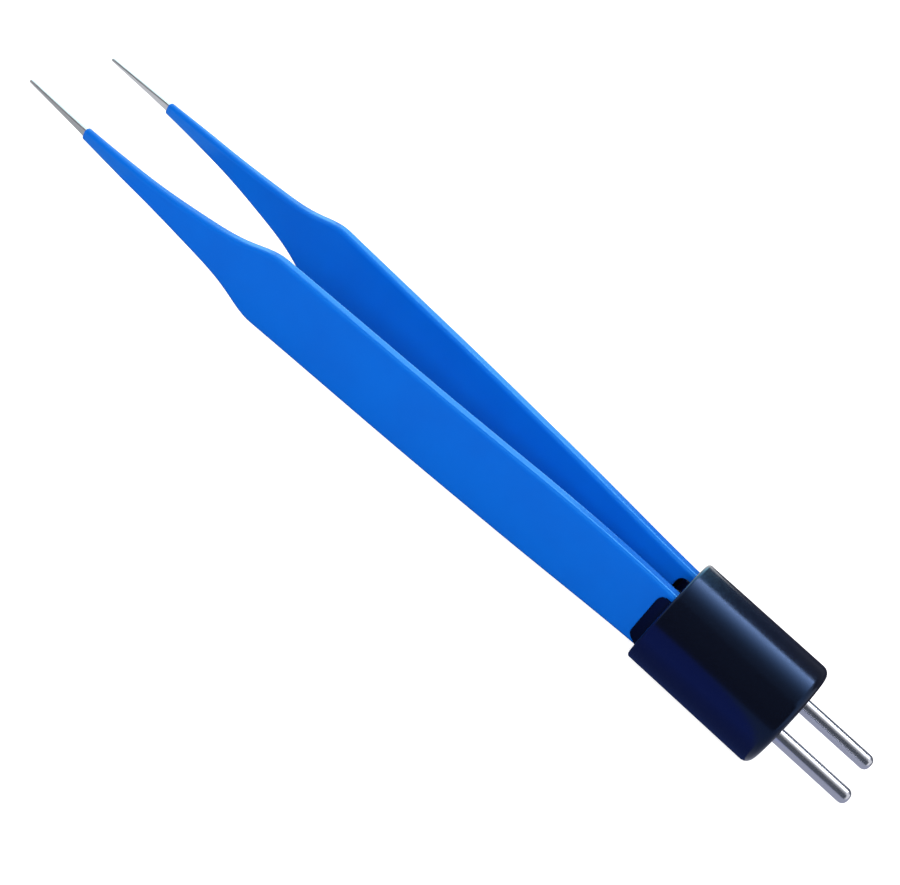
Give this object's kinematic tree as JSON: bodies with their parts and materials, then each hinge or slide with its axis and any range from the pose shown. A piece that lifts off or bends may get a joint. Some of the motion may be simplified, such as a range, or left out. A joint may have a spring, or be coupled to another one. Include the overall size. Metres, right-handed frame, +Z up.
{
  "type": "bipolar forceps",
  "caption": "Sprung surgical tweezers with two nylon-sleeved steel tines, fine bare tips and a round black plug with two contact pins for a bipolar lead.",
  "frame": {"origin": "centre of the plug's flat rear face, between the two contact pins", "axes": "+X runs out along the contact pins and the tines run to -X; the tines close along Y, the left tine at +Y; +Z is up, across the broad blades, with the forceps lying on their side"},
  "size_m": [0.1458, 0.019, 0.016],
  "materials": {
    "blade_steel": "satin stainless steel, bare at the tips",
    "sleeve_nylon": "smooth glossy blue nylon coating",
    "plug_plastic": "glossy black moulded plastic",
    "potting_resin": "black potting resin",
    "spacer_plastic": "natural moulded insulating plastic",
    "pin_metal": "polished plated contact pin",
    "rivet_steel": "plain steel rivet"
  },
  "bodies": {
    "plug": {"plug_housing": "plug_plastic", "potting": "potting_resin", "tang_spacer": "spacer_plastic", "left_pin": "pin_metal", "right_pin": "pin_metal"},
    "left_tine": {"left_blade": "blade_steel", "left_sleeve": "sleeve_nylon", "left_rivet": "rivet_steel"},
    "right_tine": {"right_blade": "blade_steel", "right_sleeve": "sleeve_nylon", "right_rivet": "rivet_steel"}
  },
  "joints": [
    {"name": "left_tine_flex", "type": "hinge", "parent": "plug", "child": "left_tine", "pos_m": [-0.0156, 0.00315, 0], "axis": [0, 0, 1], "range_deg": [0, 3.88], "stiffness_Nm_per_rad": 1.2},
    {"name": "right_tine_flex", "type": "hinge", "parent": "plug", "child": "right_tine", "pos_m": [-0.0156, -0.00315, 0], "axis": [0, 0, -1], "range_deg": [0, 3.88], "stiffness_Nm_per_rad": 1.2}
  ]
}
